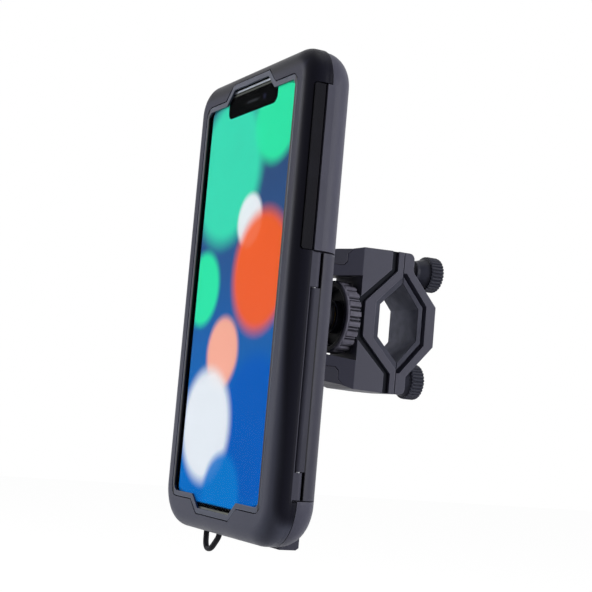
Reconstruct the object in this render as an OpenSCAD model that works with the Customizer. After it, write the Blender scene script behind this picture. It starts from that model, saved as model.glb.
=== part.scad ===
// Handlebar mount for a phone: hinged splash-proof case on a ball joint, with a two-jaw bar clamp.
// Frame: origin on the handlebar's axis in the middle of the clamp, X along the bar,
// -Y towards the phone's window, +Z up. Millimetres.

/* [Case] */
// Width of the case
case_w = 84; // [80:1:90]
// Height of the case
case_h = 153.8; // [148:0.2:160]
// Thickness of the closed case
case_t = 17.1; // [17:0.1:20]
// Radius of the case's corners seen from the front
corner_r = 14; // [12:1:16]
// Radius of the front cover's two upper corners
cover_corner_r = 10.5; // [9:0.5:14]
// Radius of the rear shell's two upper corners
shell_corner_r = 12; // [11:0.5:14]
// Radius of the front cover's outer edge
front_edge_r = 5.5; // [3:0.5:6]
// Radius of the rear shell's outer edge
rear_edge_r = 8; // [4:0.5:8]
// Distance from the bar's axis to the back of the case
setback = 41.8; // [41:0.2:44]
// Height of the case's middle above the bar's axis
case_rise = 2.2; // [0:0.2:4]
// Depth of the front cover
cover_depth = 6.35; // [6:0.05:7]
// How far the lips at the cover's ends reach over the rear shell
lip = 1.55; // [1:0.05:1.55]
// Width of the phone bay
bay_w = 71.4; // [70:0.2:71.6]
// Height of the phone bay
bay_h = 146.4; // [144:0.2:147]
// Thickness of the rear wall
rear_wall = 2.2; // [2:0.1:2.4]
// Thickness of the foam pad behind the phone
foam_t = 2.3; // [1.5:0.1:2.4]

/* [Window] */
// Width of the window's seam
window_w = 68.5; // [66:0.5:69]
// Top of the window's seam above the bar's axis
window_top = 70.6; // [66:0.2:71]
// Bottom of the window's seam below the bar's axis
window_drop = 64.9; // [60:0.2:66]
// Radius of the window's corners
window_r = 4; // [3:0.5:6]
// Width of the window's rim
rim_w = 1.65; // [1.4:0.05:2.2]
// Rise of the notch above the window
top_notch_rise = 4.8; // [3:0.2:5]
// Half width of the top notch at its foot
top_notch_half = 18.7; // [14:0.1:22]
// Drop of the notch below the window
low_notch_drop = 4.3; // [3:0.1:4.5]
// Half width of the bottom notch at its foot
low_notch_half = 17.7; // [14:0.1:22]
// How far both notches narrow on each side
notch_run = 5.2; // [4:0.1:6]

/* [Hinge and latch] */
// Lower end of the cover's hinge
hinge_low = -59; // [-60:1:-50]
// Upper end of the cover's hinge
hinge_high = 34; // [20:1:36]
// Number of hinge knuckles
hinge_n = 5; // [3:2:7]
// Radius of the hinge knuckles
hinge_r = 2.6; // [2.4:0.1:2.8]
// Radius of the hinge and latch pins
pin_r = 0.9; // [0.7:0.05:1]
// Lower end of the latch
latch_low = -59.4; // [-60:0.2:-50]
// Upper end of the latch
latch_high = 14.8; // [5:0.2:15]
// Radius of the latch's knuckles
latch_r = 1.5; // [1.4:0.05:1.6]

/* [Ball joint] */
// Radius of the ball
ball_r = 6.5; // [6:0.1:6.6]
// Distance from the bar's axis to the ball's centre
ball_back = 30.5; // [30:0.1:31]
// Outer radius of the ball's split collet
collet_r = 7.8; // [7.6:0.1:7.9]
// Radius of the locking wheel over its lugs
wheel_r = 12.3; // [11.6:0.1:12.4]
// Number of lugs round the locking wheel
wheel_lugs = 22; // [14:1:24]

/* [Clamp] */
// Width of the clamp along the bar
clamp_w = 18; // [17:0.5:20]
// Half height of the clamp's ears
ear_z = 24.2; // [24:0.1:25]
// Distance from the bar's axis to each flat of the opening
flat_y = 7.7; // [7:0.1:8]
// Half length of each flat
flat_half = 5.5; // [5:0.1:6]
// Half height of the opening at the split
apex_z = 13.6; // [13:0.1:14]
// Where the split between the jaws lies
split_y = 0.6; // [0:0.1:0.8]
// Half height of the yoke's pocket
pocket_half = 14.3; // [14:0.1:15]

/* [Thumb screws] */
// Height of each thumb screw above or below the bar's axis
screw_z = 19.1; // [19:0.1:19.4]
// Radius of the thread
thread_r = 2.45; // [2.4:0.05:2.5]
// Radius of the knurled knobs
knob_r = 6.2; // [5.5:0.1:6.5]
// Ridges round each knob
knob_ridges = 30; // [20:1:36]
// How far the upper screw is backed out
upper_out = 4.7; // [3:0.1:5]

/* [Hidden] */
$fn = 48;
e = 0.01;                                 // overlap of cutting solids
gap = 0.25;                               // air between pieces that move past each other

// Case, from back to front
back_y = -setback;
front_y = back_y - case_t;
seam_y = front_y + cover_depth;           // rear edge of the cover
shell_y = seam_y + gap;                   // front edge of the rear shell
shell_depth = back_y - shell_y;
front_wall = 1.3;
card_t = 0.8;
card_y = front_y + front_wall;            // front face of the display card
lens_t = 0.5;
lens_y = card_y - lens_t;                 // front face of the window lens
foam_y = back_y - rear_wall;              // rear face of the foam pad
bay_r = 5;
side_x = case_w / 2;
low_z = case_rise - case_h / 2;
high_z = case_rise + case_h / 2;
ink = ["#565661", "#30303a", "#1c1e28", "#3b3c44"];

// Window
seam_gap = 0.3;
lens_edge = 0.15;                         // how far the lens reaches behind the cover

// Seal
seal_in = 0.6;                            // wall between the bay and the seal's groove
seal_w = 1.4;
seal_deep = 1.5;

// Lips at the cover's upper and lower ends
lip_wall = 2.4;                           // wall of the rear shell inside the lips
lip_top = 66.6;
lip_low = -60.1;

// Hinge and latch
hinge_x = -side_x;
hinge_y = shell_y + 1.3;
hinge_pitch = (hinge_high - hinge_low) / hinge_n;
latch_x = side_x - latch_r;
latch_y = shell_y + latch_r;
latch_in = 38.2;                          // inner face of the latch
latch_top_knuckle = 10.6;
latch_low_knuckle = 8.1;

// Side pads
pad_low = 15.1;
pad_high = 66.6;
pad_front = -56.6;
pad_floor = side_x - 2.4;
pad_round = 0.9;
pad_t = 1.1;
volume_low = 38;
volume_high = 63;

// Port door
door_half = 30;
door_y = -49;
door_top = low_z + 1.75;                  // leaves 1.6 mm of wall under the bay
door_low = low_z - 0.6;
port_half = 7;
port_y = [-48.5, -45];

// Ball joint and adaptor
ball_y = -ball_back;
adaptor_r = 13.5;
adaptor_t = 3.2;
flange_r = 7.8;
flange_t = 1.4;
neck_r = 3.2;
fit = 0.08;                               // radial play of the pieces that turn on each other
housing_front = -35;
housing_back = -28.5;
housing_x = 10.5;
ear_in = 17.15;
ear_out = 22.5;
stem_r = 2.95;
cup_front = -26.2;
cup_back = -22.1;

// Clamp
wheel_front = -22;
wheel_back = -16.65;
lug_front = -20.9;
yoke_front = -15.4;                       // rear wall of the pocket
arm_end = -28.5;
block_front = -13.5;
core_x = 7;                               // half width of the yoke where it meets the jaw block
jaw_flat = 14.7;
pad_thick = 1.6;
groove_w = 1.6;
nut_y = -10;
nut_t = 4;
nut_r = 4.62;
shank_l = 24;
collar_r = 4.2;
collar_l = 1.2;
cone_l = 4;
band_l = 4.2;
jaw_ear = 4.6;

// ---------------------------------------------------------------- helpers

// Extrudes a Y-Z outline across the part's middle plane
module across_x(width) {
    rotate([90, 0, 90]) translate([0, 0, -width / 2]) linear_extrude(width) children();
}

// Extrudes an X-Z outline from y0 to y1
module along_y(y0, y1) {
    translate([0, y1, 0]) rotate([90, 0, 0]) linear_extrude(y1 - y0) children();
}

// Turns a radius-Y outline about the part's Y axis
module turn_y(x = 0, z = 0) {
    translate([x, 0, z]) rotate([-90, 0, 0]) rotate_extrude() children();
}

module rod_y(r, y0, y1, x = 0, z = 0) {
    translate([x, y0, z]) rotate([-90, 0, 0]) cylinder(r = r, h = y1 - y0);
}

module rod_z(r, z0, z1, x, y) {
    translate([x, y, z0]) cylinder(r = r, h = z1 - z0);
}

module box(x, y, z) {
    translate([x[0], y[0], z[0]]) cube([x[1] - x[0], y[1] - y[0], z[1] - z[0]]);
}

module both_sides() {
    children();
    mirror([1, 0, 0]) children();
}

module top_and_bottom() {
    children();
    mirror([0, 0, 1]) children();
}

// Rounded rectangle centred on the case
module case_plan(w, h, r) {
    translate([0, case_rise]) {
        square([w - 2 * r, h], center = true);
        square([w, h - 2 * r], center = true);
        for (x = [-1, 1], y = [-1, 1]) translate([x * (w / 2 - r), y * (h / 2 - r)]) circle(r);
    }
}

// Section of a shell's border, from the corner's centre outwards
module border(depth, edge_r, r) {
    square([r - edge_r, depth]);
    square([r, depth - edge_r]);
    intersection() {
        translate([r - edge_r, depth - edge_r]) circle(edge_r);
        translate([r - edge_r, depth - edge_r]) square(edge_r);
    }
}

// Slab with the case's plan whose far edge is rounded
module rounded_slab(depth, edge_r, top_r = corner_r) {
    half = side_x - top_r;
    foot = side_x - corner_r;
    low = corner_r - case_h / 2;
    high = case_h / 2 - top_r;
    translate([-half, low, 0]) cube([2 * half, high - low, depth]);
    for (side = [0, 1]) mirror([side, 0, 0]) {
        translate([half, high, 0]) {
            rotate([90, 0, 0]) linear_extrude(high - low) border(depth, edge_r, top_r);
            rotate_extrude(angle = 90) border(depth, edge_r, top_r);
        }
        translate([foot, low, 0]) rotate(-90) rotate_extrude(angle = 90) border(depth, edge_r, corner_r);
    }
    translate([-half, high, 0]) rotate(90) rotate([90, 0, 0])
        linear_extrude(2 * half) border(depth, edge_r, top_r);
    translate([foot, low, 0]) rotate(-90) rotate([90, 0, 0])
        linear_extrude(2 * foot) border(depth, edge_r, corner_r);
}

// Outer form of the rear shell, its rounded edge at the back
module shell_slab() {
    translate([0, shell_y, case_rise]) mirror([0, 1, 0]) rotate([90, 0, 0])
        rounded_slab(shell_depth, rear_edge_r, shell_corner_r);
}

// Upper and lower ends of the border outside the shell's inner wall, less room for the loop
module end_zone(play) {
    difference() {
        union() {
            translate([-side_x - 1, lip_top - play]) square([2 * side_x + 2, high_z - lip_top + 2]);
            translate([-side_x - 1, low_z - 1]) square([2 * side_x + 2, lip_low + play - low_z + 1]);
        }
        case_plan(bay_w + 2 * (lip_wall + gap - play), bay_h + 2 * (lip_wall + gap - play), bay_r + lip_wall);
        translate([loop_x[0] - 2.2 - gap + play, low_z - 2])
            square([loop_x[1] - loop_x[0] + 4.4 + 2 * (gap - play), 8]);
    }
}

// ---------------------------------------------------------------- window

// Quarter turn of the window's corner, from its start angle
function bend(x, z, r, start) = [for (a = [0:9:90]) [x + r * cos(start + a), z + r * sin(start + a)]];

// Ends of a notch's four corners along the window's edge, from +X to -X
function notch(foot, rise, half, grow) = let (m = grow * tan(atan2(rise, notch_run) / 2))
    [[half + m, foot + grow], [half - notch_run + m, foot + rise + grow],
     [notch_run - half - m, foot + rise + grow], [-half - m, foot + grow]];

// Window outline, grown or shrunk by an even margin, with its two notches
module window_shape(grow = 0) {
    x = window_w / 2 - window_r;
    top = window_top - window_r;
    low = window_r - window_drop;
    r = window_r + grow;
    under = notch(window_drop, low_notch_drop, low_notch_half, grow);
    polygon(concat(bend(x, top, r, 0), notch(window_top, top_notch_rise, top_notch_half, grow),
                   bend(-x, top, r, 90), bend(-x, low, r, 180),
                   [for (k = [3:-1:0]) [under[k][0], -under[k][1]]], bend(x, low, r, 270)));
}

// ---------------------------------------------------------------- front cover

function knuckle(k) = hinge_low + k * hinge_pitch;

// Hinge knuckles first, first + 2, ... with a web towards the shell that carries them
module hinge_knuckles(first, web_y) {
    for (k = [first:2:hinge_n - 1]) {
        z0 = knuckle(k) + gap / 2;
        z1 = knuckle(k + 1) - gap / 2;
        rod_z(hinge_r, z0, z1, hinge_x, hinge_y);
        box([hinge_x - hinge_r + 0.2, hinge_x + 1], [min(hinge_y, web_y), max(hinge_y, web_y)], [z0, z1]);
    }
}

// Room for the other shell's knuckles
module hinge_room(first) {
    for (k = [first:2:hinge_n - 1])
        rod_z(hinge_r + 0.35, knuckle(k) - gap / 2, knuckle(k + 1) + gap / 2, hinge_x, hinge_y);
}

module pad_recess(x, low, high) {
    r = pad_round;
    box([min(x, pad_floor * sign(x)), max(x, pad_floor * sign(x))],
        [pad_front, seam_y + e], [low + r, high - r]);
    for (z = [low + r, high - r])
        translate([min(x, pad_floor * sign(x)), pad_front + r, z]) rotate([0, 90, 0])
            cylinder(r = r, h = side_x + 2 - pad_floor);
    for (z = [low + r, high - r])
        box([min(x, pad_floor * sign(x)), max(x, pad_floor * sign(x))],
            [pad_front + r, seam_y + e], [z - r, z + r]);
}

module front_cover() {
    color(ink[0]) difference() {
        union() {
            translate([0, seam_y, case_rise]) rotate([90, 0, 0])
                rounded_slab(cover_depth, front_edge_r, cover_corner_r);
            intersection() {
                translate([0, seam_y + lip, case_rise]) rotate([90, 0, 0])
                    rounded_slab(cover_depth, front_edge_r, cover_corner_r);
                along_y(seam_y - 1, seam_y + lip) end_zone(0);
            }
            hinge_knuckles(1, seam_y - 3);
            for (z = [[latch_high - latch_top_knuckle, latch_high],
                      [latch_low, latch_low + latch_low_knuckle]]) {
                rod_z(latch_r, z[0], z[1], latch_x, latch_y);
                box([latch_x - latch_r, side_x], [seam_y - 1, latch_y], z);
            }
        }
        along_y(card_y, seam_y + e) case_plan(bay_w, bay_h, bay_r);
        along_y(front_y - e, card_y) window_shape();
        along_y(lens_y, card_y + e) window_shape(lens_edge);
        along_y(seam_y - seal_deep, seam_y + e) difference() {
            case_plan(bay_w + 2 * (seal_in + seal_w), bay_h + 2 * (seal_in + seal_w), bay_r + seal_in + seal_w);
            case_plan(bay_w + 2 * seal_in, bay_h + 2 * seal_in, bay_r + seal_in);
        }
        pad_recess(side_x + 1, pad_low, pad_high);
        pad_recess(-side_x - 1, volume_low, volume_high);
        power_plunger(0.15);
        volume_plungers(0.15);
        hinge_room(0);
        rod_z(pin_r + fit, hinge_low - 1, hinge_high + 1, hinge_x, hinge_y);
        rod_z(pin_r, latch_low + 1, latch_high + 1, latch_x, latch_y);
    }
}

module seal_ring() {
    color("#17171b") along_y(seam_y - seal_deep, seam_y + 0.12) difference() {
        case_plan(bay_w + 2 * (seal_in + seal_w), bay_h + 2 * (seal_in + seal_w), bay_r + seal_in + seal_w);
        case_plan(bay_w + 2 * seal_in, bay_h + 2 * seal_in, bay_r + seal_in);
    }
}

module window_rim() {
    color(ink[0]) along_y(front_y + 0.1, lens_y) difference() {
        window_shape(-seam_gap);
        window_shape(-seam_gap - rim_w);
    }
}

module window_lens() {
    color([0.8, 0.85, 0.9, 0.3]) along_y(lens_y, card_y) window_shape(lens_edge);
}

module display_card() {
    color("#2a6a8c") along_y(card_y, card_y + card_t) case_plan(bay_w - 0.4, bay_h - 0.4, bay_r - 0.2);
}

// Soft pad in a side recess, with the plungers that reach the phone's buttons
module soft_pad(low, high) {
    front = pad_front + 0.3;
    rear = seam_y - 0.3;
    r = pad_round - 0.3;
    x0 = pad_floor + 0.9;
    for (z = [low + r + 0.3, high - r - 0.3])
        translate([x0, front + r, z]) rotate([0, 90, 0]) cylinder(r = r, h = pad_t);
    box([x0, x0 + pad_t], [front, rear], [low + r + 0.3, high - r - 0.3]);
    box([x0, x0 + pad_t], [front + r, rear], [low + 0.3, high - 0.3]);
}

module power_plunger(play = 0) {
    box([bay_w / 2 + (play > 0 ? -1 : 0.8), pad_floor + 0.9 + e * sign(play)],
        [-56 - play, -54.9 + play], [34 - play, 48 + play]);
}

module volume_plungers(play = 0) {
    for (z = [41, 53])
        box([-pad_floor - 0.9 - e * sign(play), -bay_w / 2 - (play > 0 ? -1 : 0.8)],
            [-56 - play, -54.9 + play], [z - play, z + 8 + play]);
}

module power_pad() {
    color("#1a1a20") {
        soft_pad(pad_low, pad_high);
        power_plunger();
    }
}

module volume_pad() {
    color("#1a1a20") {
        mirror([1, 0, 0]) soft_pad(volume_low, volume_high);
        volume_plungers();
    }
}

// ---------------------------------------------------------------- latch

module latch() {
    rear = back_y;
    mid = [latch_low + latch_low_knuckle + gap, latch_high - latch_top_knuckle - gap];
    plate_y = latch_y + latch_r + 0.3;
    color(ink[0]) difference() {
        union() {
            intersection() {
                shell_slab();
                box([latch_in, side_x + 1], [plate_y, rear + 1], [latch_low, latch_high]);
            }
            rod_z(latch_r, mid[0], mid[1], latch_x, latch_y);
            box([latch_x - latch_r, side_x], [latch_y, plate_y + e], mid);
        }
        rod_z(pin_r + fit, latch_low - 1, latch_high + 1, latch_x, latch_y);
    }
}

module latch_pin() {
    color("#8d9096") rod_z(pin_r, latch_low + 1, latch_high + 0.05, latch_x, latch_y);
}

// ---------------------------------------------------------------- rear shell

module camera_shape(grow = 0) {
    w = 14 + 2 * grow;
    h = 27 + 2 * grow;
    r = 5 + grow;
    translate([22, 58]) {
        square([w - 2 * r, h], center = true);
        square([w, h - 2 * r], center = true);
        for (x = [-1, 1], y = [-1, 1]) translate([x * (w / 2 - r), y * (h / 2 - r)]) circle(r);
    }
}

module rear_shell() {
    color(ink[0]) difference() {
        union() {
            shell_slab();
            hinge_knuckles(0, shell_y + 5);
        }
        along_y(shell_y - e, foam_y) difference() {
            case_plan(bay_w, bay_h, bay_r);
            circle(17);
        }
        along_y(shell_y - e, foam_y - 1.5) circle(17.1);
        along_y(shell_y - 1, seam_y + lip + gap) end_zone(gap);
        box([latch_in - 0.3, side_x + 1], [shell_y - 1, back_y + 1], [latch_low - 0.4, latch_high + 0.6]);
        box([-door_half - 0.25, door_half + 0.25], [door_y - 0.25, back_y + 1], [low_z - 1, door_top + 0.15]);
        box([-port_half, port_half], port_y, [low_z, low_z + 5]);
        along_y(foam_y - 1, back_y + e) camera_shape(-1);
        along_y(back_y - 1.2, back_y + e) camera_shape();
        for (a = [45:90:315])
            rod_y(1, back_y - 3.2, back_y + e, 10.6 * cos(a), 10.6 * sin(a));
        hinge_room(1);
        rod_z(pin_r, hinge_low + 1, hinge_high + 1, hinge_x, hinge_y);
        for (x = loop_x) rod_z(loop_r, low_z - 1, low_z + 2.5, x, loop_y);
        translate([loop_x[1], loop_y, low_z]) sphere(loop_r + 0.35);
    }
}

module foam_pad() {
    color("#26262c") along_y(foam_y - foam_t, foam_y) difference() {
        case_plan(bay_w - 1, bay_h - 1, bay_r - 0.5);
        circle(17.6);
        camera_shape(1);
    }
}

module camera_window() {
    color([0.8, 0.85, 0.9, 0.3]) along_y(back_y - 1.2, back_y - 0.2) camera_shape(-0.05);
}

module hinge_pin() {
    color("#8d9096") rod_z(pin_r, hinge_low + 1, hinge_high + 0.05, hinge_x, hinge_y);
}

// Elastic loop with both ends moulded into the bottom wall
loop_r = 0.95;
loop_x = [-20.3, -10];
loop_y = -50.6;
loop_bend = 1.9;
loop_low = -78.9;

// Middle line of the loop: down, round the bend in four steps, up aslant and in again
reach = [loop_x[1] - loop_x[0] - loop_bend, low_z - loop_low];
lean = acos(loop_bend / norm(reach)) - atan2(reach[1], reach[0]);
turn = (180 - lean) / 4;
loop_line = concat([[loop_x[0], low_z + 2.5]],
    [for (k = [0:3]) [loop_x[0] + loop_bend, loop_low] + loop_bend / cos(turn / 2)
        * [cos(180 + turn * (k + 0.5)), sin(180 + turn * (k + 0.5))]],
    [[loop_x[1], low_z], [loop_x[1], low_z + 2.5]]);

module lanyard_loop() {
    color("#1b1b20") translate([0, loop_y, 0]) for (k = [0:len(loop_line) - 2]) {
        p = loop_line[k];
        way = loop_line[k + 1] - p;
        translate([p[0], 0, p[1]]) rotate([0, atan2(way[0], way[1]), 0]) cylinder(r = loop_r, h = norm(way));
        if (k > 0) translate([p[0], 0, p[1]]) sphere(loop_r + 0.05);
    }
}

module port_door() {
    r = rear_edge_r + 0.15;
    rear = back_y - rear_edge_r + r * sin(65);
    color(ink[1]) {
        across_x(2 * door_half) polygon(concat([[door_y, door_top], [door_y, door_low], [rear - 1, door_low],
            [rear, door_low + 0.7]], [for (a = [65:-5:40])
            [back_y - rear_edge_r + r * sin(a), low_z + rear_edge_r - r * cos(a)]]));
        box([0.2 - port_half, port_half - 0.2], [port_y[0] + 0.2, port_y[1] - 0.2], [door_top - e, low_z + 3.3]);
    }
}

// ---------------------------------------------------------------- adaptor and ball

module adaptor_plate() {
    face = back_y + adaptor_t;
    color(ink[1]) difference() {
        turn_y() polygon([[0, back_y], [adaptor_r, back_y], [adaptor_r, face - 1.2],
                          [adaptor_r - 1.2, face], [0, face]]);
        rod_y(flange_r + fit, back_y - e, back_y + flange_t + 0.25);
        rod_y(neck_r + fit, back_y, face + e);
        for (a = [45:90:315]) {
            rod_y(1, back_y - e, face, 10.6 * cos(a), 10.6 * sin(a));
            rod_y(1.95, face - 1.5, face + e, 10.6 * cos(a), 10.6 * sin(a));
        }
    }
}

module adaptor_screws() {
    face = back_y + adaptor_t;
    color("#5b5d62") for (a = [45:90:315]) translate([10.6 * cos(a), 0, 10.6 * sin(a)]) {
        rod_y(1, back_y - 3.2, face - 1.5);
        difference() {
            rod_y(1.85, face - 1.5, face - 0.2);
            translate([0, face - 0.9, 0]) rotate([-90, 0, 0]) cylinder(r = 0.9, h = 2, $fn = 6);
        }
    }
}

module ball_stud() {
    color("#3a3b42") {
        rod_y(flange_r, back_y + 0.12, back_y + 0.12 + flange_t);
        rod_y(neck_r, back_y + flange_t, ball_y - 4);
        translate([0, ball_y, 0]) sphere(ball_r, $fn = 64);
    }
}

module ball_collet() {
    color("#1f2026") difference() {
        turn_y() translate([0, ball_y]) intersection() {
            difference() {
                circle(collet_r, $fn = 64);
                circle(ball_r + fit, $fn = 64);
            }
            translate([0, -4.4]) square([collet_r, 5.6]);
        }
        for (a = [0:60:300]) translate([0, ball_y, 0]) rotate([0, a, 0])
            box([4, collet_r + 1], [-5, -0.6], [-0.35, 0.35]);
    }
}

module socket_housing() {
    color(ink[1]) difference() {
        union() {
            intersection() {
                turn_y() polygon([[0, housing_back], [24, housing_back], [24, -31.3], [16, -31.3],
                                  [6.5, housing_front], [0, housing_front]]);
                along_y(housing_front, housing_back) {
                    square([2 * housing_x, 2 * (ear_out - 6)], center = true);
                    square([2 * (housing_x - 6), 2 * ear_out], center = true);
                    for (x = [-1, 1], z = [-1, 1]) translate([x * (housing_x - 6), z * (ear_out - 6)])
                        circle(6);
                }
            }
            intersection() {
                top_and_bottom() across_x(clamp_w)
                    polygon(concat([[housing_back - e, ear_in]], ear_edge(0),
                                   [[-25, ear_out - 0.3], [housing_back - e, ear_out - 1.2]]));
                arm_plan(0);
            }
        }
        translate([0, ball_y, 0]) intersection() {
            sphere(collet_r + fit, $fn = 64);
            box([-10, 10], [-10, e], [-10, 10]);
        }
        rod_y(collet_r + fit, ball_y, housing_back + e);
        housing_bolts(2, -33);
    }
}

// Edge of each housing ear on the yoke's arm, from the arm's inside to its top
function ear_edge(play) = [[-22.4 + play, ear_in - play], [-21.15 + play, ear_in + 1.25 - play],
    [-21.15 + play, ear_out - 1.5 - 0.4 * play], [-19.2 + play, ear_out + 0.42 + 0.6 * play]];

// Four screws through the housing's ears into the yoke's arms
module housing_bolts(head_r, front) {
    for (x = [-1, 1], z = [-1, 1]) {
        rod_y(1.05, -30, -17, 4.7 * x, 19.9 * z);
        rod_y(head_r, front, -30, 4.7 * x, 19.9 * z);
    }
}

module housing_screws() {
    color("#5b5d62") difference() {
        housing_bolts(1.9, -31.1);
        for (x = [-1, 1], z = [-1, 1]) translate([4.7 * x, -31.2, 19.9 * z]) rotate([-90, 0, 0])
            cylinder(r = 0.9, h = 0.8, $fn = 6);
    }
}

// ---------------------------------------------------------------- yoke

// The arms' plan: parallel beside the bar, tapering towards the phone
module arm_plan(trim) {
    translate([0, 0, -30]) linear_extrude(60)
        polygon([[-clamp_w / 2 + trim, 10], [-clamp_w / 2 + trim, yoke_front], [-6.4, arm_end],
                 [6.4, arm_end], [clamp_w / 2 - trim, yoke_front], [clamp_w / 2 - trim, 10]]);
}

// Front outline of the jaw block, upper half from the split's ear to the bar's height
block_edge = [[-1.7, ear_z], [-1.7, 17.5], [block_front, 5.9]];
groove_edge = [[-4.2, ear_z], [-4.2, 17.7], [yoke_front, 7.3]];
function flip(points) = [for (i = [len(points) - 1:-1:0]) [points[i][0], -points[i][1]]];

module clamp_yoke() {
    color(ink[0]) difference() {
        intersection() {
            union() {
                across_x(clamp_w) top_and_bottom_2d()
                    polygon(concat(groove_edge, [[yoke_front, pocket_half], [arm_end, pocket_half - 1.4],
                                   [arm_end, ear_in - 0.15]], ear_edge(0.15), [[yoke_front, ear_z - 0.3]]));
                across_x(2 * core_x) polygon(concat(block_edge, flip(block_edge), flip_out()));
            }
            arm_plan(0);
        }
        rod_y(stem_r + fit, yoke_front - e, block_front + e);
        for (z = [-1, 1]) {
            rod_y(thread_r + 0.3, -22, 1, 0, z * screw_z);
            translate([0, nut_y, z * screw_z]) rotate([-90, 30, 0]) cylinder(r = nut_r, h = 12, $fn = 6);
        }
        for (x = [-1, 1]) rod_y(0.9, yoke_front - e, block_front + e, 5.95 * x, 0);
        for (x = [-1, 1], z = [-1, 1]) rod_y(1.05, -22, -17, 4.7 * x, 19.9 * z);
    }
}

module top_and_bottom_2d() {
    children();
    mirror([0, 1]) children();
}

// Front side of the yoke's core: the pocket's rear wall and the ends that close the C
function flip_out() = concat([[-4.2, -ear_z], [-4.2, -17.7], [yoke_front, -7.3]],
                             [[yoke_front, 7.3], [-4.2, 17.7], [-4.2, ear_z]]);

module side_inlay() {
    color(ink[2]) both_sides() translate([core_x + 0.5, 0, 0]) across_x(1)
        polygon(concat(block_edge, flip(block_edge), flip_out()));
}

module jaw_block() {
    rear = split_y - 0.15;
    color(ink[0]) difference() {
        across_x(clamp_w) polygon(concat([[rear, ear_z]], block_edge, flip(block_edge), [[rear, -ear_z],
            [rear, -apex_z - pad_thick * 1.4], [-flat_y - pad_thick, -flat_half - pad_thick * 0.4],
            [-flat_y - pad_thick, flat_half + pad_thick * 0.4], [rear, apex_z + pad_thick * 1.4]]));
        rod_y(stem_r + fit, block_front - e, -11);
        for (z = [-1, 1]) rod_y(thread_r + 0.3, -5, 1, 0, z * screw_z);
        for (x = [-1, 1]) rod_y(0.9, block_front - e, -10, 5.95 * x, 0);
    }
}

module jaw_block_pad() {
    rear = split_y - 0.15;
    color(ink[3]) across_x(clamp_w) polygon([
        [rear, apex_z], [rear, apex_z + pad_thick * 1.4],
        [-flat_y - pad_thick, flat_half + pad_thick * 0.4],
        [-flat_y - pad_thick, -flat_half - pad_thick * 0.4], [rear, -apex_z - pad_thick * 1.4],
        [rear, -apex_z], [-flat_y, -flat_half], [-flat_y, flat_half]]);
}

module jaw_block_screws() {
    color("#5b5d62") for (x = [-1, 1]) {
        rod_y(0.9, yoke_front, -10, 5.95 * x, 0);
        rod_y(1.3, yoke_front - 1, yoke_front, 5.95 * x, 0);
    }
}

module captive_nuts() {
    color("#8d9096") for (z = [-1, 1]) difference() {
        translate([0, nut_y, z * screw_z]) rotate([-90, 30, 0]) cylinder(r = nut_r, h = nut_t, $fn = 6);
        rod_y(thread_r + 0.05, nut_y - 1, nut_y + nut_t + 1, 0, z * screw_z);
    }
}

module thrust_washer() {
    color("#8d9096") difference() {
        rod_y(4.6, wheel_back + 0.15, yoke_front);
        rod_y(stem_r + 0.15, wheel_back, yoke_front + 1);
    }
}

// ---------------------------------------------------------------- locking wheel

// One lug, a notch, a narrow rib and a second notch for each step round the rim
function wheel_rim(i) = let (s = 360 / wheel_lugs, a = i * s)
    [for (p = [[0, 1], [0.22, 1.003], [0.44, 1], [0.5, 0.9], [0.61, 0.9], [0.66, 0.96], [0.79, 0.96],
               [0.84, 0.9], [0.94, 0.9]])
        wheel_r * p[1] * [cos(a + p[0] * s), sin(a + p[0] * s)]];

module lock_wheel() {
    color(ink[1]) difference() {
        union() {
            along_y(lug_front, wheel_back) polygon([for (i = [0:wheel_lugs - 1]) each wheel_rim(i)]);
            turn_y() polygon([[0, lug_front + e], [wheel_r - 0.1, lug_front + e], [wheel_r - 0.1, wheel_front + 0.4],
                              [wheel_r - 0.5, wheel_front], [0, wheel_front]]);
        }
        turn_y() polygon([[5.6, wheel_front - 1], [wheel_r - 1.9, wheel_front - 1], [wheel_r - 1.9, wheel_front + 0.2],
                          [wheel_r - 2.6, wheel_front + 2.6], [5.6, wheel_front + 2.6]]);
        rod_y(4.4, wheel_front - e, wheel_back + e);
    }
}

module wheel_bush() {
    color("#a98f4e") difference() {
        rod_y(4.4, wheel_front, wheel_back);
        rod_y(stem_r + 0.05, wheel_front - 1, wheel_back + 1);
    }
}

module pressure_cup() {
    color("#8d9096") difference() {
        union() {
            turn_y() polygon([[0, cup_front], [5, cup_front], [5.3, cup_back - 2], [5.3, cup_back - 0.7],
                              [0, cup_back - 0.7]]);
            rod_y(stem_r, cup_back - 1, -13);
        }
        translate([0, ball_y, 0]) sphere(ball_r + 0.06, $fn = 64);
    }
}

// ---------------------------------------------------------------- outer jaw

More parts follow.
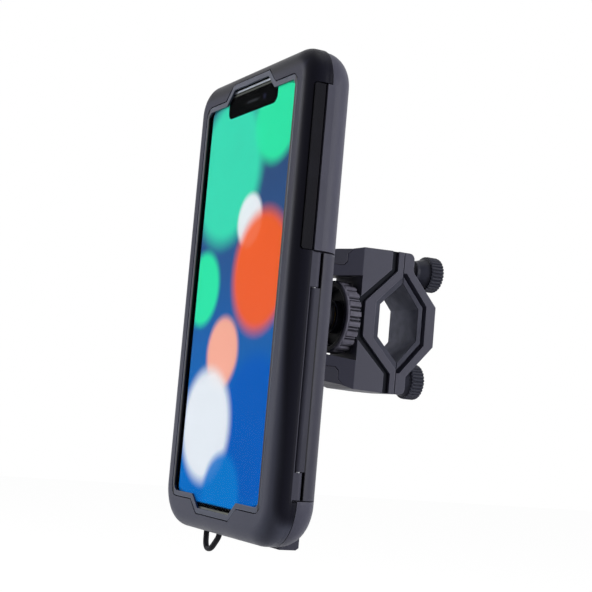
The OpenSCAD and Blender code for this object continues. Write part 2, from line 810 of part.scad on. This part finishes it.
module outer_jaw() {
    front = split_y + 0.15;
    liner = pad_thick;
    inside = [[front, apex_z + liner * 1.4], [flat_y + liner, flat_half + liner * 0.4]];
    wide = liner + groove_w;
    color(ink[0]) difference() {
        across_x(clamp_w) {
            polygon(concat([[front, ear_z], [jaw_ear - 2, ear_z]], [for (a = [75:-15:0])
                [jaw_ear - 2 + 2 * cos(a), ear_z - 2 + 2 * sin(a)]],
                [[jaw_ear, 18], [jaw_flat, 6.9], [jaw_flat, -6.9], [jaw_ear, -18]],
                [for (a = [0:-15:-75]) [jaw_ear - 2 + 2 * cos(a), -ear_z + 2 + 2 * sin(a)]],
                [[jaw_ear - 2, -ear_z], [front, -ear_z]],
                [[front, -inside[0][1]], [inside[1][0], -inside[1][1]], inside[1], inside[0]]));
        }
        both_sides() translate([clamp_w / 2 - 1.5, 0, 0]) across_x(3 + 2 * e)
            polygon([[front - 1, apex_z + wide * 1.1], [front + 1.2, apex_z + wide * 1.1],
                     [flat_y + wide, flat_half + wide * 0.4], [flat_y + wide, -flat_half - wide * 0.4],
                     [front + 1.2, -apex_z - wide * 1.1], [front - 1, -apex_z - wide * 1.1]]);
        for (z = [-1, 1]) {
            rod_y(thread_r + 0.3, front - 1, 12, 0, z * screw_z);
            turn_y(0, z * screw_z) polygon([[0, jaw_ear], [collar_r + 0.3, jaw_ear],
                [collar_r + 0.3, jaw_ear + 1.2], [knob_r + 0.4, jaw_ear + 5.2], [knob_r + 0.4, 20], [0, 20]]);
        }
    }
}

module outer_jaw_liner() {
    front = split_y + 0.15;
    color(ink[3]) across_x(clamp_w) polygon([
        [front, apex_z], [front, apex_z + pad_thick * 1.4],
        [flat_y + pad_thick, flat_half + pad_thick * 0.4],
        [flat_y + pad_thick, -flat_half - pad_thick * 0.4], [front, -apex_z - pad_thick * 1.4],
        [front, -apex_z], [flat_y, -flat_half], [flat_y, flat_half]]);
}

// ---------------------------------------------------------------- thumb screws

function ridge(i) = let (s = 360 / knob_ridges, a = i * s)
    [for (p = [[0, 0.88], [0.25, 0.98], [0.5, 1], [0.75, 0.98]])
        knob_r * p[1] * [cos(a + p[0] * s), sin(a + p[0] * s)]];

module screw_knob(z, out) {
    y0 = jaw_ear + out + 0.05;
    y1 = y0 + collar_l;
    y2 = y1 + cone_l;
    y3 = y2 + band_l + 0.6;
    core = knob_r - 0.8;
    color(ink[3]) difference() {
        union() {
            turn_y(0, z) polygon([[0, y0], [collar_r, y0], [collar_r, y1], [core, y2], [core, y3 - 0.5],
                                  [core - 0.5, y3], [0, y3]]);
            intersection() {
                translate([0, 0, z]) along_y(y2 - 0.4, y3 - 0.3)
                    polygon([for (i = [0:knob_ridges - 1]) each ridge(i)]);
                turn_y(0, z) polygon([[0, y2 - 1], [knob_r - 0.3, y2 - 0.6], [knob_r + 0.1, y2 + 0.4],
                                      [knob_r + 0.1, y3 - 1.1], [knob_r - 0.35, y3], [0, y3]]);
            }
        }
        rod_y(thread_r, y0 - 1, y1 + 3, 0, z);
    }
}

module screw_shank(z, out) {
    y0 = jaw_ear + out + 0.05;
    color("#8d9096") rod_y(thread_r, y0 - shank_l, y0 + collar_l + 3, 0, z);
}

module upper_screw_knob() { screw_knob(screw_z, upper_out); }
module upper_screw_shank() { screw_shank(screw_z, upper_out); }
module lower_screw_knob() { screw_knob(-screw_z, 0); }
module lower_screw_shank() { screw_shank(-screw_z, 0); }

// ---------------------------------------------------------------- assembly

clamp_yoke();
socket_housing();
housing_screws();
jaw_block();
jaw_block_pad();
jaw_block_screws();
side_inlay();
captive_nuts();
thrust_washer();
lock_wheel();
wheel_bush();
pressure_cup();
outer_jaw();
outer_jaw_liner();
upper_screw_knob();
upper_screw_shank();
lower_screw_knob();
lower_screw_shank();
ball_collet();
ball_stud();
rear_shell();
foam_pad();
camera_window();
adaptor_plate();
adaptor_screws();
hinge_pin();
lanyard_loop();
port_door();
front_cover();
window_rim();
window_lens();
display_card();
seal_ring();
latch_pin();
latch();
power_pad();
volume_pad();
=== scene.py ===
import math
import bpy
from mathutils import Matrix, Vector


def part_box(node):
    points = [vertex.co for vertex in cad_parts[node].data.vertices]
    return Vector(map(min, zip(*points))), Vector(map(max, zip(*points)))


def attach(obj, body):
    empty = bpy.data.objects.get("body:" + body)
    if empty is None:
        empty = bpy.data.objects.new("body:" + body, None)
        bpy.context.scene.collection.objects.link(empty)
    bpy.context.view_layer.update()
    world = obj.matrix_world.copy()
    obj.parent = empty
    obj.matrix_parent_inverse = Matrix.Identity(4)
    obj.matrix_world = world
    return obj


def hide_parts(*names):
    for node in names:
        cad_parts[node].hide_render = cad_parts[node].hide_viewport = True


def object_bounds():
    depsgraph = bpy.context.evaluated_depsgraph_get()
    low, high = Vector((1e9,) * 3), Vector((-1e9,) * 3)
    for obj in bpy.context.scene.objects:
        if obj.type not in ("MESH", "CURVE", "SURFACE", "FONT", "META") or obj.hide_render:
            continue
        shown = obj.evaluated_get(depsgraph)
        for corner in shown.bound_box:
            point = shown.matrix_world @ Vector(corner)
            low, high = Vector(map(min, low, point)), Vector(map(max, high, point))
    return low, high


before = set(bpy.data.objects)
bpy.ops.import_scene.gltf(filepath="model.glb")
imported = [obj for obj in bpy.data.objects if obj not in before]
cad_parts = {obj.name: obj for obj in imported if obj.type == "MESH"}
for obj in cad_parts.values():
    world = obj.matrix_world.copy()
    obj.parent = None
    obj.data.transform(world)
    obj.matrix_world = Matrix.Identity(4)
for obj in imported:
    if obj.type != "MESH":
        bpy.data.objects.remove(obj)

cad_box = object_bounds()

# The room. The mount hangs free in a white studio, as it would on a bar that isn't there: a camera low
# beside the clamp, a broad lamp before the window, another behind the clamp and a soft fill from above.
CAMERA_AT = (0.38480, -0.23571, -0.03640)
CAMERA_RIGHT = (0.46770, 0.87960, 0.08693)
CAMERA_UP = (0.04417, -0.12149, 0.99161)
CAMERA_BACK = (0.88278, -0.45994, -0.09567)
LENS_MM = 79.37

camera_data = bpy.data.cameras.new("camera")
camera_data.sensor_width = 36.0
camera_data.lens = LENS_MM
camera_data.clip_start = 0.01
camera = bpy.data.objects.new("camera", camera_data)
bpy.context.scene.collection.objects.link(camera)
turned = Matrix((CAMERA_RIGHT, CAMERA_UP, CAMERA_BACK)).transposed().to_4x4()
camera.matrix_world = Matrix.Translation(CAMERA_AT) @ turned
bpy.context.scene.camera = camera
bpy.context.scene.view_settings.view_transform = "Standard"


def lamp(name, place, aim, size, watts):
    light = bpy.data.lights.new(name, "AREA")
    light.shape = "RECTANGLE"
    light.size, light.size_y = size
    light.energy = watts
    stand = bpy.data.objects.new(name, light)
    bpy.context.scene.collection.objects.link(stand)
    way = Vector(aim) - Vector(place)
    stand.matrix_world = Matrix.Translation(place) @ way.to_track_quat("-Z", "Y").to_matrix().to_4x4()


lamp("window_lamp", place=(-0.62, -0.85, 0.25), aim=(0, -0.03, 0), size=(0.5, 0.5), watts=6.0)
lamp("clamp_lamp", place=(0.75, 0.66, 0.15), aim=(0, 0, 0), size=(0.4, 0.6), watts=6.3)
lamp("top_lamp", place=(0.1, 0.1, 0.95), aim=(0, 0, 0), size=(0.5, 0.5), watts=1.3)


# Clamp yoke and jaws. Dark grey mouldings: the yoke's two arms reach forward to the ball joint's housing, a
# tone darker than its core, which is screwed to the inner jaw; the arms' darker tone is painted shade where the
# case shades them. The outer jaw travels on two thumb screws.
class Wire:
    """An output of a shader node: Python's operators on it add Math nodes."""

    def __init__(self, finish, socket):
        self.finish, self.socket = finish, socket

    def math(self, operation, *values):
        return self.finish.add("Math", {"operation": operation}, *values)

    def __add__(self, other): return self.math("ADD", self, other)
    def __radd__(self, other): return self.math("ADD", other, self)
    def __sub__(self, other): return self.math("SUBTRACT", self, other)
    def __rsub__(self, other): return self.math("SUBTRACT", other, self)
    def __mul__(self, other): return self.math("MULTIPLY", self, other)
    def __pow__(self, other): return self.math("POWER", self, other)
    def __abs__(self): return self.math("ABSOLUTE", self)

    def most(self, other): return self.math("MAXIMUM", self, other)
    def sine(self): return self.math("SINE", self)

    def ramp(self, low, high, start=0.0, end=1.0):
        """Runs smoothly from start to end while this goes from low to high."""
        return self.finish.add("MapRange", {"interpolation_type": "SMOOTHSTEP"}, self, low, high, start, end)


class Finish:
    """One material, and the wires that feed its shader."""

    def __init__(self, name):
        self.material = bpy.data.materials.new(name)
        self.material.use_nodes = True
        self.tree = self.material.node_tree
        self.shader = self.tree.nodes["Principled BSDF"]
        self.place = self.add("TexCoord", out="Object")

    def add(self, kind, settings=None, *values, out=0, **named):
        node = self.tree.nodes.new("ShaderNode" + kind)
        for key, value in (settings or {}).items():
            setattr(node, key, value)
        for key, value in [*enumerate(values), *named.items()]:
            self.plug(node.inputs[key], value)
        return Wire(self, node.outputs[out])

    def plug(self, socket, value):
        if isinstance(value, Wire):
            self.tree.links.new(value.socket, socket)
        else:
            socket.default_value = value

    def shade(self, **sockets):
        for key, value in sockets.items():
            self.plug(self.shader.inputs[key.replace("_", " ")], value)

    def noise(self, size, detail=2.0, place=None):
        """Cloudy variation whose lumps are about size metres across."""
        return self.add("TexNoise", None, Vector=place or self.place, Scale=1.0 / size, Detail=detail)

    def mix(self, share, under, over):
        """Colour under where share is 0, colour over where it is 1."""
        node = self.tree.nodes.new("ShaderNodeMix")
        node.data_type = "RGBA"
        colours = [socket for socket in node.inputs if socket.type == "RGBA"]
        for socket, value in zip([node.inputs[0], *colours], (share, under, over)):
            self.plug(socket, value)
        return Wire(self, [socket for socket in node.outputs if socket.type == "RGBA"][0])

    def paint(self, share, colour):
        """Lays a colour over the base colour where share is 1."""
        under = Wire(self, self.shader.inputs["Base Color"].links[0].from_socket)
        self.shade(Base_Color=self.mix(share, under, colour))

    def split(self):
        """The X, Y and Z of a point in the part's own frame, in metres."""
        node = self.tree.nodes.new("ShaderNodeSeparateXYZ")
        self.plug(node.inputs[0], self.place)
        return [Wire(self, socket) for socket in node.outputs]

    def edges(self, reach):
        """Close to 1 on edges and near 0 on flats."""
        soft = self.add("Bevel", {"samples": 6}, reach)
        normal = self.add("NewGeometry", out="Normal")
        return self.add("VectorMath", {"operation": "DOT_PRODUCT"}, soft, normal, out="Value").ramp(0.995, 0.80)

    def bump(self, height, depth, round_over=0.0):
        inputs = {"Height": height, "Strength": 1.0, "Distance": depth}
        if round_over:
            inputs["Normal"] = self.add("Bevel", {"samples": 6}, round_over)
        self.shade(Normal=self.add("Bump", None, **inputs))


def ink(code):
    """A colour as it shows on screen, such as 4d4d5a, for a shader's socket."""
    parts = [int(code[k:k + 2], 16) / 255 for k in (0, 2, 4)]
    return tuple(c / 12.92 if c < 0.04045 else ((c + 0.055) / 1.055) ** 2.4 for c in parts) + (1.0,)


def dress(finish, *names):
    for name in names:
        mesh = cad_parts[name].data
        mesh.materials.clear()
        mesh.materials.append(finish.material)


def moulded(name, body, rubbed, gloss=0.42, grain=0.00035, relief=0.000012, round_over=0.0003, wear=0.55,
            shine=0.1):
    """Injection-moulded plastic with a fine spark-eroded grain, rubbed lighter along its edges."""
    f = Finish(name)
    cloud = f.noise(0.018, 3.0)
    fine = f.noise(grain, 2.0)
    worn = f.edges(0.0005) * cloud.ramp(0.35, 0.7, 0.35, 1.0)
    paler = tuple(c * 1.15 for c in ink(body)[:3]) + (1.0,)
    uneven = fine.ramp(0.3, 0.7, -0.05, 0.07) + cloud.ramp(0.3, 0.7, -0.03, 0.04)
    f.shade(Base_Color=f.mix(worn * wear, f.mix(cloud.ramp(0.3, 0.7), ink(body), paler), ink(rubbed)),
            Roughness=gloss + uneven - worn * 0.08, Specular_IOR_Level=shine)
    f.bump(fine, relief, round_over)
    return f


clamp_plastic = moulded("clamp_plastic", "525260", "9191a0", gloss=0.46)
ARM_ROOT, ARM_FADE = -0.0154, 0.0003
x, y, z = clamp_plastic.split()
# Painted shade: the arms, forward of the yoke's core, are painted a tone darker.
clamp_plastic.paint(y.ramp(ARM_ROOT, ARM_ROOT - ARM_FADE), ink("40404e"))
dress(clamp_plastic, "clamp_yoke", "jaw_block", "outer_jaw")
groove_plastic = moulded("groove_plastic", "1b1d25", "373743", gloss=0.55, shine=0.05)
dress(groove_plastic, "side_inlay")


def rubbery(name, body, scuffed, gloss=0.62, grain=0.0005):
    """Moulded rubber: matt, faintly mottled and dusty, with a pebbled skin."""
    f = Finish(name)
    cloud = f.noise(0.009, 3.0)
    pebble = f.add("TexVoronoi", {"feature": "SMOOTH_F1"}, Vector=f.place, Scale=1.0 / grain, out="Distance")
    worn = f.edges(0.0004) * 0.4
    f.shade(Base_Color=f.mix(cloud.ramp(0.35, 0.75) * 0.5 + worn, ink(body), ink(scuffed)),
            Roughness=gloss + cloud.ramp(0.3, 0.7, -0.06, 0.1), Specular_IOR_Level=0.06)
    f.bump(pebble, 0.00003, 0.0002)
    return f


# Bar pads. Each jaw carries a grey rubber liner, bonded in, with three flats that grip a round bar. The flats
# are mottled and paler than the pads' end faces.
pad_rubber = rubbery("pad_rubber", "4b4c59", "6b6d7b")
x, y, z = pad_rubber.split()
pad_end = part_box("outer_jaw_liner")[1][0]
END_SKIN, FLAT_EDGE = 0.0002, 0.0006
flats = abs(x).ramp(pad_end - END_SKIN, pad_end - FLAT_EDGE)
mottle = pad_rubber.noise(0.004, 4.0).ramp(0.3, 0.7, 0.55, 1.0)
pad_rubber.paint(flats * mottle, ink("7b7d8a"))
dress(pad_rubber, "jaw_block_pad", "outer_jaw_liner")


def plated(name, body, tarnish, gloss=0.3, turned_along=None, ring=0.0003):
    """Bare or plated metal with fine tool marks and a dull bloom between them."""
    f = Finish(name)
    x, y, z = f.split()
    cloud = f.noise(0.004, 3.0)
    marks = (turned_along(x, y, z) * (2 * math.pi / ring)).sine() if turned_along else f.noise(ring, 1.0)
    worn = f.edges(0.0003)
    f.shade(Base_Color=f.mix(cloud.ramp(0.35, 0.7) * 0.6, ink(body), ink(tarnish)), Metallic=1.0,
            Roughness=gloss + cloud.ramp(0.3, 0.7, -0.06, 0.14) - worn * 0.1)
    f.bump(marks, 0.000006, 0.0002)
    return f


# Fastenings. Zinc-plated screws and nuts hold the housing, the inner jaw and the adaptor plate, steel pins
# carry the cover and the latch, and the lock wheel turns on a brass bush against a flat washer.
screw_steel = plated("screw_steel", "8d8e93", "5d5e63", 0.34, lambda x, y, z: y, 0.0004)
dress(screw_steel, "housing_screws", "jaw_block_screws", "captive_nuts", "adaptor_screws",
      "upper_screw_shank", "lower_screw_shank")
pin_steel = plated("pin_steel", "9a9ba0", "6a6b70", 0.28, lambda x, y, z: z, 0.0005)
dress(pin_steel, "hinge_pin", "latch_pin")
washer_steel = plated("washer_steel", "a3a4a8", "77787d", 0.3)
dress(washer_steel, "thrust_washer")
bush_brass = plated("bush_brass", "b79a55", "8a7340", 0.3)
dress(bush_brass, "wheel_bush")

# Lock wheel. A knurled moulding on a screw thread between the yoke's arms: turning it presses the cup on
# the ball. Its lugs carry a painted highlight in pale spots, and its almost black body colour is painted shade
# on its dished face and between the lugs.
LUG_FOOT, LUG_TOP = 0.0112, 0.0120
wheel_plastic = moulded("wheel_plastic", "24242c", "807e8d", gloss=0.5, wear=0.8)
across, along, up = wheel_plastic.split()
# Painted highlight: the lugs' tops are painted pale, in spots.
lug_highlight = ((across * across + up * up) ** 0.5).ramp(LUG_FOOT, LUG_TOP)
highlight_spots = wheel_plastic.noise(0.0015, 2.0).ramp(0.3, 0.7, 0.75, 1.0)
wheel_plastic.paint(lug_highlight * highlight_spots, ink("7b7988"))
dress(wheel_plastic, "lock_wheel")

# Thumb screws. Steel shanks moulded into black knobs with a plain collar, a cone and a knurled rim, one above
# the bar and one below it.
knob_plastic = moulded("knob_plastic", "343541", "6b6d7d", gloss=0.4, wear=0.6)
dress(knob_plastic, "upper_screw_knob", "lower_screw_knob")

# Ball joint. A black ball stud in a split collet, held by the housing and pressed by a cup of aluminium that
# is hard-anodised almost black.
joint_plastic = moulded("joint_plastic", "40404b", "676773", gloss=0.48)
dress(joint_plastic, "socket_housing", "adaptor_plate")
ball_plastic = moulded("ball_plastic", "2b2b32", "54545f", gloss=0.25, relief=0.000004)
dress(ball_plastic, "ball_stud")
collet_plastic = moulded("collet_plastic", "1e1e23", "41414b", gloss=0.5)
dress(collet_plastic, "ball_collet")
cup_aluminium = plated("cup_aluminium", "3a3a40", "2c2c31", 0.35)
dress(cup_aluminium, "pressure_cup")

# Case shells. The rear shell is a satin moulding in slate grey with a faint violet cast, and the latch on the
# right side continues its rounded edge a tone darker. The front cover carries painted shade, almost black,
# along its rounded sides and top, and painted light at its foot, which is palest; the knuckles on its seam are
# about as pale as the latch.
case_plastic = moulded("case_plastic", "555564", "9595a5", gloss=0.40)
dress(case_plastic, "rear_shell")
latch_plastic = moulded("latch_plastic", "474754", "80808e", gloss=0.40)
BARREL_WIDE = 0.0033
SPLIT_OUTER, SPLIT_INNER = 0.00032, 0.00020
x, y, z = latch_plastic.split()
split_line = abs(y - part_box("latch")[0][1] - BARREL_WIDE).ramp(SPLIT_OUTER, SPLIT_INNER)
latch_plastic.paint(split_line, ink("1d1d25"))
dress(latch_plastic, "latch")
cover_plastic = moulded("cover_plastic", "303144", "5a5b6b", gloss=0.38, shine=0.07)
FOOT_LOW, FOOT_HIGH = -0.050, 0.030
FRONT_MID, FOOT_WIDENS = -0.0010, 0.0027
SIDE_START, SIDE_FULL = 0.0376, 0.0398
TOP_START, TOP_FULL = 0.0715, 0.0745
KNUCKLE_FRONT, KNUCKLE_MID, KNUCKLE_REACH, KNUCKLE_FADE = -0.0528, 0.00325, 0.0630, 0.0002
x, y, z = cover_plastic.split()
# Painted light: the cover is painted paler towards its foot.
cover_plastic.paint(z.ramp(FOOT_HIGH, FOOT_LOW), ink("555767"))
# Painted shade: the rounded sides, widening towards the foot, and the top are painted almost black.
widening = z.ramp(FOOT_LOW, FOOT_HIGH, -FOOT_WIDENS, 0.0)
side = (abs(x - FRONT_MID) + widening).ramp(SIDE_START, SIDE_FULL)
cover_plastic.paint(side.most(z.ramp(TOP_START, TOP_FULL)), ink("1a1a26"))
behind_front = y.ramp(KNUCKLE_FRONT - KNUCKLE_FADE, KNUCKLE_FRONT + KNUCKLE_FADE)
beside_seam = abs(z - KNUCKLE_MID).ramp(KNUCKLE_REACH + KNUCKLE_FADE, KNUCKLE_REACH - KNUCKLE_FADE)
cover_plastic.paint(behind_front * beside_seam, ink("51515f"))
dress(cover_plastic, "front_cover")

# Window rim. A stepped frame round the window, paler than the cover, with a dark line of painted shade along
# the inner edge of its two long sides, for the gap to the film.
rim_plastic = moulded("rim_plastic", "4c5164", "a6acc0", gloss=0.34, shine=0.14)
RIM_WIDE, SHADE_LINE_WIDE, LINE_FADE = 0.00165, 0.00095, 0.0002
x, y, z = rim_plastic.split()
inner_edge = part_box("window_rim")[1][0] - RIM_WIDE
shade_line_end = inner_edge + SHADE_LINE_WIDE
past_edge = abs(x).ramp(inner_edge - LINE_FADE, inner_edge)
within_shade_line = abs(x).ramp(shade_line_end + LINE_FADE / 2, shade_line_end - LINE_FADE / 2)
# Painted shade: a dark line in the gap between the rim and the film.
rim_plastic.paint(past_edge * within_shade_line, ink("16161d"))
dress(rim_plastic, "window_rim")

# Case seals and buttons. Soft black rubber: the ring in the cover's seam, the two side pads that press the
# phone's buttons, and the flap over the charging port.
button_rubber = rubbery("button_rubber", "1a1a20", "303037", gloss=0.6, grain=0.0004)
dress(button_rubber, "seal_ring", "power_pad", "volume_pad")
door_rubber = rubbery("door_rubber", "4a4a57", "686877", gloss=0.55)
dress(door_rubber, "port_door")

# Foam pad. Closed-cell foam sheet glued inside the rear shell behind the phone, cut out round the boss and the
# camera.
foam = Finish("foam")
CELL_SIZE = 0.0006
cells = foam.add("TexVoronoi", None, Vector=foam.place, Scale=1.0 / CELL_SIZE, out="Distance")
tone = foam.noise(0.012, 3.0)
foam.shade(Base_Color=foam.mix(cells.ramp(0.1, 0.7), ink("1f1f23"), ink("3f3f47")),
           Roughness=0.85 + tone.ramp(0.3, 0.7, -0.05, 0.1))
foam.bump(cells, 0.0001)
dress(foam, "foam_pad")


# Clear windows. A thin touch film behind the cover's rim, and a hard plastic pane over the camera that looks
# almost black from outside.
def clear(name, tint, alpha, gloss, shine=0.5):
    """Clear plastic with faint smears."""
    f = Finish(name)
    smear = f.noise(0.014, 3.0).ramp(0.45, 0.75)
    f.shade(Base_Color=ink(tint), Alpha=alpha + smear * 0.01, Roughness=gloss + smear * 0.08,
            Specular_IOR_Level=shine)
    return f


dress(clear("clear_lens", "343943", 0.03, 0.06), "window_lens")
dress(clear("camera_lens", "24262d", 0.62, 0.20, 0.03), "camera_window")

# Display card. The printed dummy that fills the window: a black bezel with a notch, a speaker slot and a
# lens dot, round a picture of soft overlapping discs. The picture glows faintly, as painted light, though the
# card is no lamp. Thin strips show above and below the screen.
SCREEN_HALF_W = 0.0312
SCREEN_LOW, SCREEN_HIGH = -0.0641, 0.06965
SCREEN_ROUND = 0.0035
PAINTED_SCREEN_GLOW = 0.63
NOTCH_HALF_W, NOTCH_DROP, NOTCH_ROUND = 0.0184, 0.0056, 0.0028
CHIN_HALF_W, CHIN_LOW, CHIN_ROUND = 0.0165, -0.06535, 0.0002
OVERLAP = 0.004
SLOT_HALF_W, SLOT_LOW, SLOT_HIGH = 0.0042, 0.0672, 0.0682
DOT_X, DOT_Z, DOT_RADIUS = 0.0088, 0.0677, 0.0011
GROUND_LOW, GROUND_HIGH = -0.06, 0.05
DISC_RIM, DISC_CORE, DISC_COVER = 1.14, 0.80, 0.94
# Each disc's colour, its place across and up, and its radius.
DISCS = (
    ("38d2ac", -0.014, 0.046, 0.026), ("2ddca0", 0.020, 0.060, 0.016), ("dfe5ea", 0.006, 0.027, 0.009),
    ("e85c1e", 0.017, 0.010, 0.020), ("2ddca0", -0.026, 0.006, 0.013), ("f0a890", -0.006, -0.016, 0.012),
    ("0b56b0", 0.021, -0.040, 0.024), ("dfe5ea", -0.014, -0.040, 0.019), ("0a70c0", 0.002, -0.062, 0.014),
)
STRIP_HALF_W, STRIP_ROUND = 0.0200, 0.0002
# Each strip's colour and its low and high edge.
STRIPS = (("dee4ef", 0.0724, 0.0731), ("6d706b", 0.0713, 0.0720), ("979a94", -0.0676, -0.0667))
card = Finish("printed_card")
x, y, z = card.split()
picture = card.mix(z.ramp(GROUND_LOW, GROUND_HIGH), ink("0a66b8"), ink("2f4a75"))
for code, disc_x, disc_z, radius in DISCS:
    off_x, off_z = x - disc_x, z - disc_z
    away = (off_x * off_x + off_z * off_z) ** 0.5
    share = away.ramp(radius * DISC_RIM, radius * DISC_CORE) * DISC_COVER
    picture = card.mix(share, picture, ink(code))


def window_of(x, z, half_w, low, high, rounding, soft=0.00012):
    """1 inside a rounded rectangle and 0 outside it."""
    out_x = (abs(x) - (half_w - rounding)).most(0.0)
    out_z = (abs(z - (low + high) / 2) - ((high - low) / 2 - rounding)).most(0.0)
    return ((out_x * out_x + out_z * out_z) ** 0.5).ramp(rounding + soft, rounding - soft)


screen = window_of(x, z, SCREEN_HALF_W, SCREEN_LOW, SCREEN_HIGH, SCREEN_ROUND)
notch = window_of(x, z, NOTCH_HALF_W, SCREEN_HIGH - NOTCH_DROP, SCREEN_HIGH + OVERLAP, NOTCH_ROUND)
chin = window_of(x, z, CHIN_HALF_W, CHIN_LOW, SCREEN_LOW + OVERLAP, CHIN_ROUND)
FRONT_NEAR, FRONT_FAR = 0.0001, 0.0003
printed_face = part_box("display_card")[0][1]
front = y.ramp(printed_face + FRONT_FAR, printed_face + FRONT_NEAR)
shown = screen.most(chin) * (1.0 - notch) * front
slot = window_of(x, z, SLOT_HALF_W, SLOT_LOW, SLOT_HIGH, (SLOT_HIGH - SLOT_LOW) / 2)
dot = window_of(x - DOT_X, z, DOT_RADIUS, DOT_Z - DOT_RADIUS, DOT_Z + DOT_RADIUS, DOT_RADIUS)
bezel = card.mix(slot, card.mix(dot, ink("080809"), ink("303247")), ink("3b3d43"))
for code, low, high in STRIPS:
    bezel = card.mix(window_of(x, z, STRIP_HALF_W, low, high, STRIP_ROUND), bezel, ink(code))
bezel = card.mix(front, ink("34353a"), bezel)
dust = card.noise(0.006, 2.0)
# Painted light: the picture glows, though the card is no lamp.
card.shade(Base_Color=card.mix(shown, bezel, picture), Roughness=0.60 + dust.ramp(0.3, 0.7, -0.05, 0.08),
           Emission_Color=card.mix(shown, ink("000000"), picture), Emission_Strength=PAINTED_SCREEN_GLOW,
           Specular_IOR_Level=0.0)
dress(card, "display_card")

# Lanyard loop. A round elastic cord, both ends potted in the case's bottom wall: the left strand drops
# straight, turns round in a wide bend and climbs aslant to the other end.
elastic = rubbery("loop_elastic", "232328", "3f3f47", gloss=0.5, grain=0.0003)
LOOP_RADIUS = 0.00095
# Each point's share of the way from the left end to the right end, and from the bend up to the wall.
LOOP_COURSE = ((0.0, 1.0), (0.0, 0.42), (0.0, 0.22), (0.10, 0.0), (0.30, 0.0), (0.50, 0.06), (0.72, 0.30),
               (0.93, 0.50), (1.0, 0.66), (1.0, 1.0))
loop_low, loop_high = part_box("lanyard_loop")
left_end, right_end = loop_low[0] + LOOP_RADIUS, loop_high[0] - LOOP_RADIUS
bend = loop_low[2] + LOOP_RADIUS
bpy.ops.object.select_all(action="DESELECT")
bpy.ops.curve.primitive_nurbs_path_add()
loop = bpy.context.active_object
loop.name = "elastic_loop"
strand = loop.data.splines[0]
strand.points.add(len(LOOP_COURSE) - len(strand.points))
for point, (along, up) in zip(strand.points, LOOP_COURSE):
    point.co = (left_end + along * (right_end - left_end), (loop_low[1] + loop_high[1]) / 2,
                bend + up * (loop_high[2] - bend), 1.0)
strand.order_u = 4
strand.use_endpoint_u = True
loop.data.resolution_u = 12
loop.data.bevel_depth = LOOP_RADIUS
loop.data.bevel_resolution = 6
loop.data.use_fill_caps = True
bpy.ops.object.convert(target="MESH")
bpy.ops.object.shade_smooth()
loop.data.materials.clear()
loop.data.materials.append(elastic.material)
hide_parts("lanyard_loop")
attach(loop, "case")

# Studio floor and backdrop. Plain white paper that keeps the mount's faint shadow: the camera sees it as
# white, and the mount is lit by it as by a pale room.
FLOOR_SIDE, FLOOR_BELOW = 4.0, 0.10
FLOOR_GLOW, GLOW_SHARE = 1.22, 0.8
ROOM_LIGHT = 0.04
bpy.ops.object.select_all(action="DESELECT")
bpy.ops.mesh.primitive_plane_add(size=FLOOR_SIDE, location=(0.0, 0.0, cad_box[0][2] - FLOOR_BELOW))
floor = bpy.context.active_object
floor.name = "floor"
paper = Finish("white_paper")
paper.tree.nodes.remove(paper.shader)
ray = paper.tree.nodes.new("ShaderNodeLightPath")
seen = [Wire(paper, ray.outputs[name]) for name in ("Is Camera Ray", "Is Glossy Ray", "Is Transmission Ray")]
plain = paper.add("BsdfDiffuse", None, Color=ink("d8d8d8"))
glow = paper.add("Emission", None, Color=ink("ffffff"), Strength=FLOOR_GLOW)
blend = paper.add("MixShader", None, seen[0].most(seen[1]).most(seen[2]) * GLOW_SHARE, plain, glow)
paper.tree.links.new(blend.socket, paper.tree.nodes["Material Output"].inputs["Surface"])
floor.data.materials.append(paper.material)

world = bpy.data.worlds.new("studio")
bpy.context.scene.world = world
world.use_nodes = True
sky = world.node_tree
around = sky.nodes["Background"]
around.inputs["Color"].default_value = (1.0, 1.0, 1.0, 1.0)
path = sky.nodes.new("ShaderNodeLightPath")
either = [sky.nodes.new("ShaderNodeMath"), sky.nodes.new("ShaderNodeMath")]
for step in either:
    step.operation = "MAXIMUM"
level = sky.nodes.new("ShaderNodeMapRange")
level.inputs["To Min"].default_value = ROOM_LIGHT
level.inputs["To Max"].default_value = 1.0
sky.links.new(path.outputs["Is Camera Ray"], either[0].inputs[0])
sky.links.new(path.outputs["Is Glossy Ray"], either[0].inputs[1])
sky.links.new(either[0].outputs[0], either[1].inputs[0])
sky.links.new(path.outputs["Is Transmission Ray"], either[1].inputs[1])
sky.links.new(either[1].outputs[0], level.inputs["Value"])
sky.links.new(level.outputs["Result"], around.inputs["Strength"])
